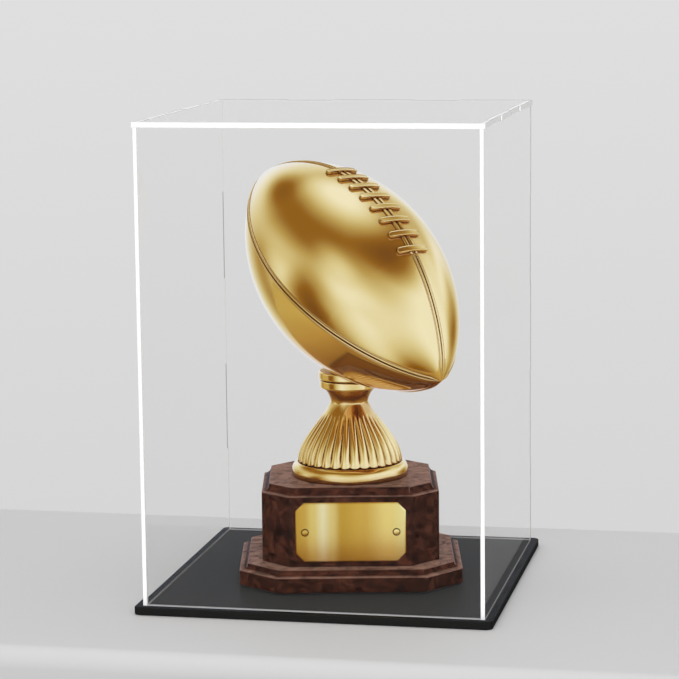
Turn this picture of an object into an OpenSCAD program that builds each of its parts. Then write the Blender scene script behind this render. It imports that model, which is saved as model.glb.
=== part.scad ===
// Football display case: a clear acrylic cover of five finger-jointed panels that lifts off a
// black base plate, over a football trophy on a fluted riser and a two-tier wooden base.
// Millimetres. Front is -Y, up is +Z, and the origin is the middle of the base's underside.

/* [Case] */
// Width of the clear cover, outside, left to right
cover_w = 250; // [230:1:360]
// Depth of the clear cover, outside, front to back
cover_d = 250; // [230:1:360]
// Height of the cover above the top of the base plate
cover_h = 350; // [335:1:480]
// Thickness of the four wall panels
wall_t = 3; // [2:0.5:5]
// Thickness of the top panel
top_t = 4; // [3:0.5:6]
// How far the top panel stands out past the side and back walls
top_lip = 1; // [0.5:0.25:3]
// Gap left at each laser-cut joint between two panels
joint_gap = 0.1; // [0.05:0.05:0.2]
// Thickness of the base plate
base_t = 6; // [5:0.5:12]
// Width of the base plate's rim outside the cover
base_rim = 6; // [3:0.5:20]
// Corner radius of the base plate
base_corner_r = 5; // [2:0.5:10]
// Depth of the groove that the walls stand in
groove_depth = 2; // [1:0.25:3]
// Clearance on each side of a wall in the groove
groove_gap = 0.3; // [0.2:0.05:0.6]

/* [Finger joints] */
// Width of each tab of the back wall that comes up through the top panel
back_tab_w = 37; // [20:1:60]
// Distance between the middles of the back wall's two tabs
back_tab_pitch = 101; // [70:1:140]
// Width of each tab of a side wall that comes up through the top panel
side_tab_w = 50; // [20:1:70]
// Distance between the middles of a side wall's two tabs
side_tab_pitch = 100; // [80:1:120]
// How far the side walls' tabs are set towards the back from the middle
side_tab_shift = -18; // [-20:1:20]
// Number of fingers down each back corner
corner_fingers = 5; // [3:2:9]

/* [Trophy place] */
// Offset of the trophy to the right of the middle of the case
trophy_x = 3.5; // [-10:0.5:10]
// Offset of the trophy to the back of the middle of the case
trophy_y = 1.5; // [-10:0.5:10]
// Turn of the trophy on its stand, anticlockwise from above
trophy_turn = 11.5; // [-20:0.5:20]

/* [Wooden base] */
// Thickness of the felt under the plinth
felt_t = 1.5; // [0.5:0.25:3]
// How far the felt is set in from the plinth's edge
felt_inset = 2; // [1:0.5:5]
// Width of the upper block, left to right
block_w = 132; // [120:1:150]
// Depth of the upper block, front to back
block_d = 112; // [106:1:130]
// Height of the upper block
block_h = 58.5; // [50:0.5:80]
// Size of the upper block's cut corners, along each side
block_cut = 20.5; // [12:0.5:26]
// Width of the cove along the upper block's top edge
block_cove_w = 5.5; // [2:0.5:8]
// Height of the cove along the upper block's top edge
block_cove_h = 6; // [2:0.5:10]
// How far the plinth stands out past the upper block on each side
plinth_ledge = 17; // [10:0.5:24]
// Height of the plinth
plinth_h = 15.5; // [13:0.5:24]
// Size of the plinth's cut corners, along each side
plinth_cut = 28; // [16:0.5:34]
// Width of the cove along the plinth's top edge
plinth_cove_w = 6; // [2:0.5:9]
// Height of the cove along the plinth's top edge
plinth_cove_h = 4.7; // [2:0.1:8]

/* [Name plate] */
// Bare edge of the block's front face left on each side of the plate
plate_side_gap = 4.7; // [2:0.1:10]
// Bare edge of the block's front face left above the plate
plate_top_gap = 4; // [2:0.5:10]
// Bare edge of the block's front face left below the plate
plate_foot_gap = 4; // [2:0.5:10]
// Thickness of the plate
plate_t = 1.2; // [0.8:0.1:2]
// Size of the plate's cut corners
plate_cut = 6.2; // [3:0.1:8]
// Distance from the plate's end to the middle of a pin
pin_inset = 7; // [6:0.5:10]
// Diameter of a pin's head
pin_head_d = 5.8; // [4:0.1:7]
// Height of a pin's head
pin_head_h = 1; // [0.6:0.1:2]
// Diameter of a pin's shank
pin_d = 2; // [1.5:0.1:2.5]
// Length of a pin's shank behind the plate
pin_len = 10; // [6:0.5:15]

/* [Riser] */
// Outside radius of the riser's foot
foot_r = 44; // [40:0.5:46]
// Height of the foot
foot_h = 11; // [9:0.5:16]
// Wall of the foot, a hollow casting
foot_wall = 3; // [2:0.5:4]
// How far the foot stands out past the fluted skirt
foot_ledge = 4.4; // [3:0.2:8]
// Height of the riser from the foot to the collar
riser_h = 55.5; // [45:0.5:70]
// Distance from the riser's neck up to its top
neck_drop = 10.5; // [7:0.5:14]
// Radius of the neck
neck_r = 14.2; // [11:0.2:17]
// Radius of the riser's top
riser_top_r = 19.6; // [18:0.2:21]
// Number of flutes around the skirt
flutes = 26; // [18:1:30]
// Depth of the flutes at the bottom of the skirt
flute_depth = 2; // [1:0.1:2.4]
// Wall of the riser's skirt, a hollow casting
riser_wall = 5; // [4:0.5:8]
// Radius of the lower collar ring
lower_collar_r = 22.2; // [20:0.2:26]
// Height of the lower collar ring
lower_collar_h = 6.6; // [5:0.1:8]
// Radius of the upper collar ring
upper_collar_r = 23; // [20:0.2:26]
// Height of the upper collar ring
upper_collar_h = 6.4; // [5:0.1:8]
// Radius of the rounding on the collar rings' edges
collar_round = 2; // [0.5:0.1:2.4]

/* [Football] */
// Length of the football, tip to tip
ball_len = 240; // [220:1:250]
// Diameter of the football at its middle
ball_d = 135; // [120:1:140]
// Pointedness of the football's ends: half is an ellipse, and more is sharper
ball_point = 0.74; // [0.6:0.01:0.85]
// Wall of the football's two hollow shells
ball_wall = 3; // [2:0.5:4]
// Dip of the football's front tip below level
ball_dip = 35; // [25:1:40]
// Direction of the football's front tip, anticlockwise from the trophy's right
ball_turn = -49; // [-70:1:-20]
// Roll of the lacing about the football's length
ball_roll = 2; // [-10:0.5:10]
// Offset of the football to the right of the riser
ball_shift = 2; // [-4:0.5:4]
// How far the football sinks into the collar's saddle
ball_sink = 2; // [1:0.1:4]
// Gap between the football and the collar's saddle
saddle_gap = 0.15; // [0.1:0.05:0.3]
// Width of one bead of a double seam
seam_w = 1.5; // [1:0.1:2]
// Height of a seam bead above the leather
seam_h = 0.9; // [0.5:0.1:1.5]
// Groove between the two beads of a seam
seam_gap = 0.8; // [0.4:0.1:1.2]

/* [Lacing] */
// Number of cross laces
laces = 8; // [6:1:9]
// Distance between cross laces along the football
lace_pitch = 13.25; // [11:0.25:14]
// Place of the lacing's middle, towards the front tip
lace_mid = -3; // [-10:0.5:10]
// Length of a cross lace around the football
lace_len = 27; // [20:0.5:32]
// Width of a cross lace
lace_w = 4.2; // [3:0.1:5]
// Height of a cross lace above the leather
lace_h = 2.8; // [2.2:0.1:4]
// Width of each of the two strips under the cross laces
strip_w = 3.2; // [2:0.1:4]
// Gap between the two strips
strip_gap = 1.4; // [0.8:0.1:2]
// Height of the strips above the leather
strip_h = 1.2; // [0.8:0.1:1.6]
// Length of the strips past the last cross laces
strip_tail = 4; // [2:0.5:8]

/* [Fastenings] */
// Diameter of the tie rod through the riser and the wooden base
rod_d = 6; // [5:0.5:8]
// Clearance around the tie rod
rod_gap = 0.2; // [0.1:0.05:0.4]
// Diameter of the washers on the tie rod
washer_d = 18; // [14:0.5:20]
// Thickness of the washers
washer_t = 1.6; // [1:0.1:2]
// Width of the nuts across their flats
nut_af = 10; // [9.5:0.5:13]
// Height of the nuts
nut_h = 5; // [4:0.5:6]
// Gap in the nuts' threads
thread_gap = 0.05; // [0.05:0.01:0.1]
// Length of the rod that stands out past a nut
rod_end = 1.5; // [0.5:0.25:2.5]
// Depth of the recess in the plinth for the lower nut
recess_depth = 9.5; // [9:0.25:10]
// Clearance around the lower washer in its recess
recess_gap = 3; // [1:0.5:4]
// Height of the boss inside the football
boss_h = 22; // [15:1:30]
// Distance from the middle to each wood screw
screw_x = 38; // [28:1:44]
// Diameter of a wood screw
screw_d = 4; // [3:0.5:5]
// Diameter of a wood screw's head
screw_head_d = 8; // [6:0.5:9]
// Length of a wood screw
screw_len = 32; // [28:1:45]
// Clearance around a wood screw
screw_gap = 0.1; // [0.05:0.05:0.3]

/* [Hidden] */
$fn = 96;

clear_acrylic = [0.86, 0.92, 0.95, 0.3];
black_acrylic = "#2b2b2b";
dark_burl = "#45281f";
gold = "#c9a23f";
brass = "#c2a04a";
steel = "#9a9ca0";
felt_black = "#1d1d1f";

// Heights in the case
wall_foot_z = base_t - groove_depth;
top_under_z = base_t + cover_h - top_t;
// Insides of the walls
inner_x = cover_w / 2 - wall_t;
inner_y = cover_d / 2 - wall_t;
finger_h = (top_under_z - wall_foot_z) / corner_fingers;

// Heights in the trophy, from the top of the base plate
felt_z = 0;
plinth_z = felt_z + felt_t;
block_z = plinth_z + plinth_h;
foot_z = block_z + block_h;
riser_z = foot_z + foot_h;
lower_collar_z = riser_z + riser_h;
upper_collar_z = lower_collar_z + lower_collar_h;
collar_top_z = upper_collar_z + upper_collar_h;

// Plan sizes of the trophy
plinth_w = block_w + 2 * plinth_ledge;
plinth_d = block_d + 2 * plinth_ledge;
plate_w = block_w - 2 * block_cut - 2 * plate_side_gap;
plate_h = block_h - block_cove_h - plate_top_gap - plate_foot_gap;
pin_x = plate_w / 2 - pin_inset;
pin_z = plate_foot_gap + plate_h / 2;
skirt_r = foot_r - foot_ledge;
neck_h = riser_h - neck_drop;

// The football: its radius at a place along its length, and where it sits
ball_half = ball_len / 2;
ball_r = ball_d / 2;
function leather_r(s) = ball_r * pow(max(0, 1 - pow(s / ball_half, 2)), ball_point);
// Distance from the football's middle straight down to its skin, found by halving an interval
function straight_down(low, high, steps) =
    let (mid = (low + high) / 2)
    steps == 0 ? mid
    : mid * cos(ball_dip) < leather_r(mid * sin(ball_dip)) ? straight_down(mid, high, steps - 1)
    : straight_down(low, mid, steps - 1);
ball_drop = straight_down(0, ball_half, 30);
ball_skin_z = collar_top_z - ball_sink;
ball_z = ball_skin_z + ball_drop;
boss_top_z = ball_skin_z + boss_h;
boss_d = washer_d;

lower_washer_z = plinth_z + recess_depth - washer_t;
lower_nut_z = lower_washer_z - nut_h;
rod_foot_z = lower_nut_z - rod_end;
upper_washer_z = boss_top_z;
upper_nut_z = upper_washer_z + washer_t;
rod_top_z = upper_nut_z + nut_h + rod_end;
rod_hole_d = rod_d + 2 * rod_gap;

first_lace = lace_mid - (laces - 1) * lace_pitch / 2;
last_lace = lace_mid + (laces - 1) * lace_pitch / 2;

module on_trophy_place() {
    translate([trophy_x, trophy_y, base_t]) rotate(trophy_turn) children();
}

// ---- Base plate -------------------------------------------------------------------------

module rounded_square(w, d, r) {
    union() {
        square([w - 2 * r, d], center = true);
        square([w, d - 2 * r], center = true);
        for (sx = [-1, 1], sy = [-1, 1])
            translate([sx * (w / 2 - r), sy * (d / 2 - r)]) circle(r);
    }
}

module base_plate() {
    color(black_acrylic) difference() {
        linear_extrude(base_t)
            rounded_square(cover_w + 2 * base_rim, cover_d + 2 * base_rim, base_corner_r);
        translate([0, 0, wall_foot_z]) linear_extrude(groove_depth + 1) difference() {
            square([cover_w + 2 * groove_gap, cover_d + 2 * groove_gap], center = true);
            square([2 * (inner_x - groove_gap), 2 * (inner_y - groove_gap)], center = true);
        }
    }
}

// ---- Cover ------------------------------------------------------------------------------

// A wall's outline is drawn flat, with its height along Y, and then stood up on its place.
// Down the back corners the side walls keep the even fingers, and the back wall the odd ones.
module wall_sheet(half_w) {
    translate([-half_w, wall_foot_z])
        square([2 * half_w, top_under_z - joint_gap - wall_foot_z]);
}

module tabs_up(tab_w, pitch, shift) {
    for (side = [-1, 1])
        translate([shift + side * pitch / 2 - tab_w / 2, top_under_z - wall_t])
            square([tab_w, wall_t + top_t]);
}

module stand_across(y) {
    translate([0, y + wall_t, 0]) rotate([90, 0, 0]) linear_extrude(wall_t) children();
}

module front_panel() {
    color(clear_acrylic) stand_across(-cover_d / 2) wall_sheet(inner_x - joint_gap);
}

module back_panel() {
    color(clear_acrylic) stand_across(inner_y) union() {
        wall_sheet(inner_x - joint_gap);
        for (i = [1:2:corner_fingers - 1])
            translate([-cover_w / 2, wall_foot_z + i * finger_h + joint_gap])
                square([cover_w, finger_h - 2 * joint_gap]);
        tabs_up(back_tab_w, back_tab_pitch, 0);
    }
}

module side_panel() {
    translate([inner_x, 0, 0]) rotate([90, 0, 90]) linear_extrude(wall_t) union() {
        difference() {
            wall_sheet(cover_d / 2);
            for (i = [1:2:corner_fingers - 1])
                translate([inner_y - joint_gap, wall_foot_z + i * finger_h])
                    square([wall_t + 1, finger_h]);
        }
        tabs_up(side_tab_w, side_tab_pitch, side_tab_shift);
    }
}

module right_panel() {
    color(clear_acrylic) side_panel();
}

module left_panel() {
    color(clear_acrylic) mirror([1, 0, 0]) side_panel();
}

module top_panel() {
    slot_w = wall_t + joint_gap + top_lip + 1;
    color(clear_acrylic) translate([0, 0, top_under_z]) linear_extrude(top_t) difference() {
        translate([-cover_w / 2 - top_lip, -cover_d / 2])
            square([cover_w + 2 * top_lip, cover_d + top_lip]);
        for (side = [-1, 1])
            translate([side * back_tab_pitch / 2 - back_tab_w / 2 - joint_gap, inner_y - joint_gap])
                square([back_tab_w + 2 * joint_gap, slot_w]);
        for (flip = [0, 1], side = [-1, 1]) mirror([flip, 0])
            translate([inner_x - joint_gap,
                side_tab_shift + side * side_tab_pitch / 2 - side_tab_w / 2 - joint_gap])
                square([slot_w, side_tab_w + 2 * joint_gap]);
    }
}

// ---- Wooden base ------------------------------------------------------------------------

// Outline of a tier's cross-section, with a cove cut along both of its top edges
function cove_profile(half, h, cove_w, cove_h) = concat(
    [[-half, 0], [half, 0]],
    [for (a = [90:-15:0]) [half - cove_w * cos(a), h - cove_h * sin(a)]],
    [for (a = [0:15:90]) [-half + cove_w * cos(a), h - cove_h * sin(a)]]);

module coved_bar(half, h, cove_w, cove_h, reach) {
    rotate([90, 0, 0]) translate([0, 0, -reach]) linear_extrude(2 * reach)
        polygon(cove_profile(half, h, cove_w, cove_h));
}

// A tier is an eight-sided block: four coved bars that meet at mitres on its corners
module tier(w, d, h, cut, cove_w, cove_h) {
    corner_half = (w / 2 + d / 2 - cut) / sqrt(2);
    intersection() {
        coved_bar(w / 2, h, cove_w, cove_h, w + d);
        rotate(90) coved_bar(d / 2, h, cove_w, cove_h, w + d);
        rotate(45) coved_bar(corner_half, h, cove_w, cove_h, w + d);
        rotate(-45) coved_bar(corner_half, h, cove_w, cove_h, w + d);
    }
}

module felt_pad() {
    w = plinth_w / 2 - felt_inset;
    d = plinth_d / 2 - felt_inset;
    c = plinth_cut - felt_inset * (2 - sqrt(2));
    color(felt_black) on_trophy_place() translate([0, 0, felt_z]) linear_extrude(felt_t)
        polygon([[w - c, -d], [w, c - d], [w, d - c], [w - c, d],
            [c - w, d], [-w, d - c], [-w, c - d], [c - w, -d]]);
}

module plinth() {
    head_h = (screw_head_d - screw_d) / 2;
    color(dark_burl) on_trophy_place() translate([0, 0, plinth_z]) difference() {
        tier(plinth_w, plinth_d, plinth_h, plinth_cut, plinth_cove_w, plinth_cove_h);
        translate([0, 0, -1]) cylinder(d = rod_hole_d, h = plinth_h + 2);
        translate([0, 0, -1]) cylinder(d = washer_d + 2 * recess_gap, h = recess_depth + 1);
        for (side = [-1, 1]) translate([side * screw_x, 0, 0]) {
            translate([0, 0, -1]) cylinder(d = screw_d + 2 * screw_gap, h = plinth_h + 2);
            cylinder(d1 = screw_head_d + 2 * screw_gap, d2 = screw_d + 2 * screw_gap, h = head_h);
        }
    }
}

module block() {
    color(dark_burl) on_trophy_place() translate([0, 0, block_z]) difference() {
        tier(block_w, block_d, block_h, block_cut, block_cove_w, block_cove_h);
        translate([0, 0, -1]) cylinder(d = rod_hole_d, h = block_h + 2);
        for (side = [-1, 1]) translate([side * screw_x, 0, -1])
            cylinder(d = screw_d + 2 * screw_gap, h = screw_len - plinth_h + 2);
        for (side = [-1, 1]) translate([side * pin_x, -block_d / 2, pin_z]) rotate([-90, 0, 0])
            translate([0, 0, -1]) cylinder(d = pin_d + 2 * thread_gap, h = pin_len + 2, $fn = 32);
    }
}

module wood_screws() {
    head_h = (screw_head_d - screw_d) / 2;
    color(steel) on_trophy_place() for (side = [-1, 1])
        translate([side * screw_x, 0, plinth_z]) union() {
            cylinder(d1 = screw_head_d, d2 = screw_d, h = head_h);
            cylinder(d = screw_d, h = screw_len);
        }
}

// ---- Name plate -------------------------------------------------------------------------

module on_plate_face() {
    on_trophy_place() translate([0, -block_d / 2, block_z + pin_z]) rotate([90, 0, 0]) children();
}

module name_plate() {
    w = plate_w / 2;
    h = plate_h / 2;
    c = plate_cut;
    color(brass) on_plate_face() difference() {
        linear_extrude(plate_t)
            polygon([[w - c, -h], [w, c - h], [w, h - c], [w - c, h],
                [c - w, h], [-w, h - c], [-w, c - h], [c - w, -h]]);
        for (side = [-1, 1]) translate([side * pin_x, 0, -1])
            cylinder(d = pin_d + 2 * thread_gap, h = plate_t + 2, $fn = 32);
    }
}

module plate_pins() {
    color(brass) on_plate_face() for (side = [-1, 1]) translate([side * pin_x, 0, 0]) union() {
        translate([0, 0, -pin_len]) cylinder(d = pin_d, h = pin_len + plate_t, $fn = 32);
        translate([0, 0, plate_t]) cylinder(d = pin_head_d, h = pin_head_h, $fn = 48);
    }
}

// ---- Riser ------------------------------------------------------------------------------

// A point on a curve between p0 and p3, drawn towards p1 and p2 on its way
function curve(p0, p1, p2, p3, t) =
    pow(1 - t, 3) * p0 + 3 * t * pow(1 - t, 2) * p1 + 3 * t * t * (1 - t) * p2 + pow(t, 3) * p3;

module riser_foot() {
    edge = 3.5;
    color(gold) on_trophy_place() translate([0, 0, foot_z]) rotate_extrude() polygon(concat(
        [[rod_hole_d / 2, foot_h - foot_wall], [foot_r - foot_wall - edge, foot_h - foot_wall],
            [foot_r - foot_wall, foot_h - foot_wall - edge], [foot_r - foot_wall, 0]],
        [for (t = [0:0.125:1]) curve([foot_r - 0.7, 0], [foot_r + 1.6, foot_h * 0.5],
            [foot_r - 1, foot_h * 0.9], [foot_r - 3, foot_h * 0.86], t)],
        [[skirt_r, foot_h * 0.96], [skirt_r - 1, foot_h], [rod_hole_d / 2, foot_h]]));
}

// The riser's outline from the skirt's foot, in at the neck and out to its top
skirt_outline = [for (t = [0:0.1:0.9]) curve([skirt_r, 0], [skirt_r - 0.6, neck_h * 0.36],
    [neck_r + 3.8, neck_h * 0.76], [neck_r, neck_h], t)];
neck_outline = [for (t = [0:0.25:1]) curve([neck_r, neck_h],
    [neck_r + 0.4, neck_h + neck_drop * 0.4],
    [riser_top_r - 2.2, neck_h + neck_drop * 0.75], [riser_top_r, riser_h], t)];
riser_outline = concat(skirt_outline, neck_outline);
flute_steps = 4;
flute_ring = flutes * flute_steps;
flute_top = neck_h * 0.8;

// Each flute is a rounded pleat, deepest at the skirt's foot and gone below the neck
function pleat(i, h) = flute_depth * max(0, 1 - h / flute_top)
    * (1 - abs(sin(180 * i / flute_steps)));

// The hollow inside the skirt, from its roof down to the foot
hollow_outline = [for (i = [7, 5, 3, 0]) [skirt_outline[i][0] - riser_wall, skirt_outline[i][1]]];

// The skirt and its hollow as rings of points: up the outside, then down the inside
module riser_body() {
    rings = concat(
        [for (ring = riser_outline)
            [for (i = [0:flute_ring - 1]) [ring[0] - pleat(i, ring[1]), ring[1]]]],
        [for (ring = hollow_outline) [for (i = [0:flute_ring - 1]) ring]]);
    outside = len(riser_outline);
    // Every ring is joined to the next, apart from the top's to the roof's, and the last to the first
    joined = [for (j = [0:len(rings) - 1]) if (j != outside - 1) j];
    polyhedron(
        points = [for (ring = rings) for (i = [0:flute_ring - 1])
            let (a = 360 * i / flute_ring)
            [ring[i][0] * cos(a), ring[i][0] * sin(a), ring[i][1]]],
        faces = concat(
            [[for (i = [0:flute_ring - 1]) outside * flute_ring - 1 - i]],
            [[for (i = [0:flute_ring - 1]) outside * flute_ring + i]],
            [for (j = joined, i = [0:flute_ring - 1])
                let (n = (i + 1) % flute_ring, low = j * flute_ring,
                    high = (j + 1) % len(rings) * flute_ring)
                [low + i, high + i, high + n, low + n]]));
}

module riser() {
    color(gold) on_trophy_place() translate([0, 0, riser_z]) difference() {
        riser_body();
        translate([0, 0, -1]) cylinder(d = rod_hole_d, h = riser_h + 2);
    }
}

module collar_ring(r, h) {
    k = collar_round;
    rotate_extrude() polygon(concat(
        [[rod_hole_d / 2, 0]],
        [for (a = [-90:15:0]) [r - k + k * cos(a), k + k * sin(a)]],
        [for (a = [0:15:90]) [r - k + k * cos(a), h - k + k * sin(a)]],
        [[rod_hole_d / 2, h]]));
}

// The saddle that the football sits in, with a channel for the seam under it
module saddle_cut() {
    channel_w = 2 * seam_w + seam_gap + 2 * saddle_gap;
    place_ball() {
        leather_solid(saddle_gap);
        rotate([90, 0, 180]) translate([0, 0, -channel_w / 2]) linear_extrude(channel_w)
            polygon(concat(leather_outline(seam_h + saddle_gap), [[0, 0]]));
    }
}

module lower_collar() {
    color(gold) on_trophy_place() difference() {
        translate([0, 0, lower_collar_z]) collar_ring(lower_collar_r, lower_collar_h);
        saddle_cut();
    }
}

module upper_collar() {
    color(gold) on_trophy_place() difference() {
        translate([0, 0, upper_collar_z]) collar_ring(upper_collar_r, upper_collar_h);
        saddle_cut();
    }
}

// ---- Football ---------------------------------------------------------------------------

// The football is drawn along +Z to its front tip, with the lacing on its +X side
module place_ball() {
    translate([ball_shift, 0, ball_z]) rotate(ball_turn) rotate([0, 90 + ball_dip, 0])
        rotate(180 + ball_roll) children();
}

ball_steps = 36;
// Outline of the football from its back tip to its front tip, grown outwards by a distance
function leather_outline(grow) = [for (i = [0:ball_steps])
    let (s = -cos(180 * i / ball_steps))
    [(leather_r(s * ball_half) * (1 + grow / ball_r)), s * (ball_half + grow)]];

module leather_solid(grow) {
    rotate_extrude() polygon(leather_outline(grow));
}

// Half of the football's hollow skin, on its +X side
module half_skin() {
    rotate(-90) rotate_extrude(angle = 180) polygon(concat(leather_outline(0),
        [for (i = [ball_steps:-1:0]) [leather_outline(-ball_wall)[i][0],
            leather_outline(-2 * ball_wall)[i][1]]]));
}

// One bead along a seam: a plate in the plane of the football's length, on its +X side
module seam_bead(offset) {
    rotate([90, 0, 0]) translate([0, 0, offset - seam_w / 2]) linear_extrude(seam_w)
        polygon(concat(leather_outline(seam_h),
            [for (i = [ball_steps:-1:0]) leather_outline(-ball_wall / 2)[i]]));
}

bead_place = (seam_gap + seam_w) / 2;

module skin_half_with_seams() {
    union() {
        half_skin();
        seam_bead(bead_place);
        seam_bead(-bead_place);
        rotate(90) seam_bead(bead_place);
        rotate(-90) seam_bead(-bead_place);
    }
}

module ball_upper_shell() {
    color(gold) on_trophy_place() place_ball() difference() {
        skin_half_with_seams();
        lacing_bed();
    }
}

module ball_lower_shell() {
    color(gold) on_trophy_place() difference() {
        union() {
            place_ball() rotate(180) skin_half_with_seams();
            intersection() {
                translate([0, 0, ball_skin_z - ball_sink]) cylinder(d = boss_d, h = boss_h + ball_sink);
                place_ball() leather_solid(-ball_wall / 2);
            }
        }
        translate([0, 0, ball_skin_z - ball_r]) cylinder(d = rod_hole_d, h = ball_r + boss_h + 1);
    }
}

// ---- Lacing -----------------------------------------------------------------------------

// Slope of the leather at a place along the football, so that each lace lies flat on it
function leather_slope(s) = atan2(leather_r(s + 1) - leather_r(s - 1), 2);

// The strips' side view: a band of a given height over the leather, between two places
function band(low, high, start, end, steps) = concat(
    [for (i = [0:steps]) let (s = start + (end - start) * i / steps) [leather_r(s) + high, s]],
    [for (i = [steps:-1:0]) let (s = start + (end - start) * i / steps) [leather_r(s) + low, s]]);

strip_start = first_lace - strip_tail;
strip_finish = last_lace + strip_tail;
strips_w = 2 * strip_w + strip_gap;

// The shallow flat bed in the seam's beads that the strips and laces lie in
module lacing_bed() {
    reach = lace_len;
    rotate([90, 0, 0]) translate([0, 0, -reach / 2]) linear_extrude(reach)
        polygon(band(0, lace_h + seam_h, strip_start - 1, strip_finish + 1, 14));
}

module lace_strips() {
    color(gold) on_trophy_place() place_ball() for (side = [-1, 1])
        rotate([90, 0, 0]) translate([0, 0, side * (strip_w + strip_gap) / 2 - strip_w / 2])
            linear_extrude(strip_w) polygon(band(0, strip_h, strip_start, strip_finish, 14));
}

module lace_section(w, h) {
    k = h * 0.45;
    union() {
        translate([0, -w / 2]) square([h - k, w]);
        translate([0, k - w / 2]) square([h, w - 2 * k]);
        for (side = [-1, 1]) translate([h - k, side * (w / 2 - k)]) circle(k, $fn = 24);
    }
}

module cross_laces() {
    color(gold) on_trophy_place() place_ball() for (i = [0:laces - 1]) {
        s = first_lace + i * lace_pitch;
        r = leather_r(s);
        sweep = lace_len / r * 180 / PI;
        difference() {
            rotate(-sweep / 2) rotate_extrude(angle = sweep)
                translate([r, s]) rotate(-leather_slope(s)) lace_section(lace_w, lace_h);
            rotate([90, 0, 0]) translate([0, 0, -strips_w / 2 - joint_gap])
                linear_extrude(strips_w + 2 * joint_gap)
                    polygon(band(-lace_h, strip_h + joint_gap, s - lace_w, s + lace_w, 4));
        }
    }
}

// ---- Fastenings -------------------------------------------------------------------------

module tie_rod() {
    color(steel) on_trophy_place() translate([0, 0, rod_foot_z])
        cylinder(d = rod_d, h = rod_top_z - rod_foot_z, $fn = 48);
}

module rod_nuts() {
    color(steel) on_trophy_place() for (z = [lower_nut_z, upper_nut_z]) translate([0, 0, z])
        difference() {
            cylinder(d = nut_af / cos(30), h = nut_h, $fn = 6);
            translate([0, 0, -1]) cylinder(d = rod_d + 2 * thread_gap, h = nut_h + 2, $fn = 48);
        }
}

module rod_washers() {
    color(steel) on_trophy_place() for (z = [lower_washer_z, upper_washer_z])
        translate([0, 0, z]) difference() {
            cylinder(d = washer_d, h = washer_t);
            translate([0, 0, -1]) cylinder(d = rod_hole_d, h = washer_t + 2, $fn = 48);
        }
}

base_plate();
front_panel();
back_panel();
left_panel();
right_panel();
top_panel();
felt_pad();
plinth();
block();
wood_screws();
name_plate();
plate_pins();
riser_foot();
riser();
lower_collar();
upper_collar();
ball_lower_shell();
ball_upper_shell();
lace_strips();
cross_laces();
tie_rod();
rod_nuts();
rod_washers();
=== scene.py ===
from math import atan2, cos, pi, radians, sin, sqrt
import bpy
from mathutils import Matrix, Vector


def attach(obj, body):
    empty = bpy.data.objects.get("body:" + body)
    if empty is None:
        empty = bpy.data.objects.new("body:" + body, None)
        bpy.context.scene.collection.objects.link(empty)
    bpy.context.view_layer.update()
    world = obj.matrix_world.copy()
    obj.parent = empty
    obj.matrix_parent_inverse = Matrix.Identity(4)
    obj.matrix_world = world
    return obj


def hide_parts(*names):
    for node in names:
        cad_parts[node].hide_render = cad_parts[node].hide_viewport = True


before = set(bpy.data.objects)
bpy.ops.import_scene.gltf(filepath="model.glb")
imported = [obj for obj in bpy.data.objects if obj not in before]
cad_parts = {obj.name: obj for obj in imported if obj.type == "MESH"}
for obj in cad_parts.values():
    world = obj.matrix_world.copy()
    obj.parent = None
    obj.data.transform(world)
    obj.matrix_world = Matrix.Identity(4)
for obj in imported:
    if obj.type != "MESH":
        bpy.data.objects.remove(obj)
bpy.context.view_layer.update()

# ---- Base plate -------------------------------------------------------------------------------
# A square of 6 mm black cast acrylic, laser cut with rounded corners and rounded over on its
# edges, with a shallow groove milled around it for the cover's walls to stand in. Everything
# that isn't the cover or the trophy is this one piece.


def skin(loops):
    """Joins closed loops of points, in millimetres, into one skin: (points, sides, ends)."""
    n = len(loops[0])
    points = [p for loop in loops for p in loop]
    sides = []
    for a in range(0, len(points) - n, n):
        for i in range(n):
            k = (i + 1) % n
            sides.append((a + i, a + k, a + n + k, a + n + i))
    ends = [tuple(range(n))[::-1], tuple(range(len(points) - n, len(points)))]
    return points, sides, ends


def piece(name, skins, place=Matrix(), sharp=35, bevel=0.0, end_material=0, bevel_material=-1):
    """Makes one object of skins given in millimetres, with its soft and sharp edges shaded."""
    points, faces, slots = [], [], []
    for skin_points, sides, ends in skins:
        start = len(points)
        points += [place @ (Vector(p) * 0.001) for p in skin_points]
        for group, slot in ((sides, 0), (ends, end_material)):
            faces += [tuple(start + i for i in face) for face in group]
            slots += [slot] * len(group)
    mesh = bpy.data.meshes.new(name)
    mesh.from_pydata(points, [], faces)
    mesh.polygons.foreach_set("material_index", slots)
    mesh.shade_smooth()
    mesh.set_sharp_from_angle(angle=radians(sharp))
    made = bpy.data.objects.new(name, mesh)
    bpy.context.scene.collection.objects.link(made)
    if bevel:
        edge = made.modifiers.new("edge", "BEVEL")
        edge.width, edge.segments = bevel * 0.001, 2
        edge.limit_method, edge.angle_limit = "ANGLE", radians(sharp)
        edge.harden_normals = True
        edge.material = bevel_material
    shading = made.modifiers.new("shading", "WEIGHTED_NORMAL")
    shading.keep_sharp = True
    return made


def rounded(w, r, z):
    """Outline of a square with rounded corners, at height z."""
    return [(sx * (w / 2 - r) + r * cos(radians(a)), sy * (w / 2 - r) + r * sin(radians(a)), z)
            for sx, sy, start in ((1, 1, 0), (-1, 1, 90), (-1, -1, 180), (1, -1, 270))
            for a in range(start, start + 91, 15)]


def srgb(hex_colour):
    """A hex colour, as it is seen, in the linear values that shaders take."""
    parts = [int(hex_colour[i:i + 2], 16) / 255 for i in (1, 3, 5)]
    return [p / 12.92 if p <= 0.04045 else ((p + 0.055) / 1.055) ** 2.4 for p in parts] + [1.0]


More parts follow.
